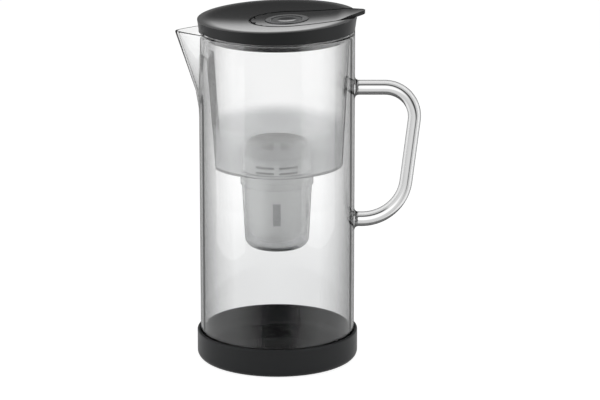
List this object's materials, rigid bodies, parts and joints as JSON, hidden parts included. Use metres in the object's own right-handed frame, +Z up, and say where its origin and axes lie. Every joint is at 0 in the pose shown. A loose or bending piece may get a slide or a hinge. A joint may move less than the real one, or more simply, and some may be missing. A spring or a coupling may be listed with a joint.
{
  "type": "water filter pitcher with flip lid",
  "caption": "Glass water filter pitcher with a fused rod handle, pulled spout, grip boot, clear hopper, lift-out cartridge and a dished lid with a hinged filling flap.",
  "frame": {"origin": "centre of the boot's underside, on the jug's axis", "axes": "+Z up along the jug's axis, +X towards the handle, -X towards the spout, +Y to the left of someone who looks from the spout to the handle"},
  "size_m": [0.1893, 0.1252, 0.2759],
  "materials": {
    "boot_rubber": "satin",
    "jug_glass": "clear, polished",
    "smoke_plastic": "clear, smoky grey",
    "white_plastic": "satin",
    "screen_plastic": "fine mesh",
    "filter_grain": "granular",
    "lid_plastic": "satin",
    "liner_plastic": "satin",
    "seal_rubber": "soft",
    "pin_steel": "drawn",
    "bezel_metal": "satin grey",
    "button_plastic": "satin",
    "board_green": "solder mask",
    "switch_black": "plain",
    "cell_steel": "plain",
    "clip_brass": "plain"
  },
  "bodies": {
    "boot": {"base_boot": "boot_rubber"},
    "jug": {"glass_jug": "jug_glass", "glass_handle": "jug_glass"},
    "hopper": {"hopper": "smoke_plastic"},
    "cartridge": {"cartridge_body": "white_plastic", "cartridge_cap": "white_plastic", "cartridge_top_screen": "screen_plastic", "cartridge_bottom_screen": "screen_plastic", "filter_media": "filter_grain"},
    "lid": {"lid_cover": "lid_plastic", "lid_liner": "liner_plastic", "lid_seal": "seal_rubber", "hinge_pins": "pin_steel"},
    "flap": {"flap": "lid_plastic", "indicator_bezel": "bezel_metal", "indicator_housing": "liner_plastic", "indicator_board": "board_green", "indicator_switch": "switch_black", "coin_cell": "cell_steel", "battery_clip": "clip_brass", "indicator_gasket": "seal_rubber", "indicator_door": "liner_plastic"},
    "button": {"indicator_button": "button_plastic"}
  },
  "joints": [
    {"name": "jug_lift", "type": "slide", "parent": "boot", "child": "jug", "axis": [0, 0, 1], "range_m": [0, 0.03]},
    {"name": "hopper_lift", "type": "slide", "parent": "jug", "child": "hopper", "axis": [0, 0, 1], "range_m": [0, 0.17]},
    {"name": "cartridge_lift", "type": "slide", "parent": "hopper", "child": "cartridge", "axis": [0, 0, 1], "range_m": [0, 0.062]},
    {"name": "lid_lift", "type": "slide", "parent": "hopper", "child": "lid", "axis": [0, 0, 1], "range_m": [0, 0.06]},
    {"name": "flap_hinge", "type": "hinge", "parent": "lid", "child": "flap", "pos_m": [-0.0183, 0, 0.26612], "axis": [0, -1, 0], "range_deg": [0, 90]},
    {"name": "indicator_press", "type": "slide", "parent": "flap", "child": "button", "axis": [0.0493, 0, -0.9988], "range_m": [0, 0.0006], "stiffness_N_per_m": 600, "springref_m": -0.0015}
  ]
}
